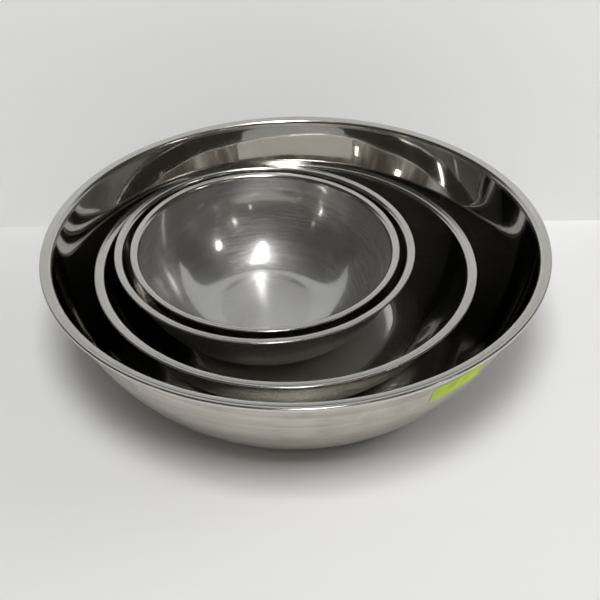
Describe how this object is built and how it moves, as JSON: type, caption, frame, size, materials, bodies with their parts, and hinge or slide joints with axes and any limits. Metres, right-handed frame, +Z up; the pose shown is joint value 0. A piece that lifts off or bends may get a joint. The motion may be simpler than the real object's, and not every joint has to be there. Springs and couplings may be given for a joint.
{
  "type": "nested mixing bowls",
  "caption": "Nest of round stainless steel mixing bowls with flat lips and rolled edges, standing one inside the other; each inner bowl lifts out.",
  "frame": {"origin": "centre of the largest bowl's flat underside, on the surface that the nest stands on", "axes": "+Z up out of the bowls, +Y away from the front of the nest, +X to the right seen from the front"},
  "size_m": [0.4509, 0.451, 0.118],
  "materials": {
    "steel_outer": "polished inside, satin outside, worn",
    "steel_polished": "polished, worn",
    "steel_brushed": "brushed round the bowl, satin",
    "sticker_paper": "matt, bright green, blank"
  },
  "bodies": {
    "largest": {"largest_bowl": "steel_outer", "blank_sticker": "sticker_paper"},
    "large": {"large_bowl": "steel_polished"},
    "medium": {"medium_bowl": "steel_polished"},
    "small": {"small_bowl": "steel_brushed"}
  },
  "joints": [
    {"name": "large_bowl_lift", "type": "slide", "parent": "largest", "child": "large", "axis": [0, 0, 1], "range_m": [0, 0.125]},
    {"name": "medium_bowl_lift", "type": "slide", "parent": "large", "child": "medium", "axis": [0, 0, 1], "range_m": [0, 0.085]},
    {"name": "small_bowl_lift", "type": "slide", "parent": "medium", "child": "small", "axis": [0, 0, 1], "range_m": [0, 0.085]}
  ]
}
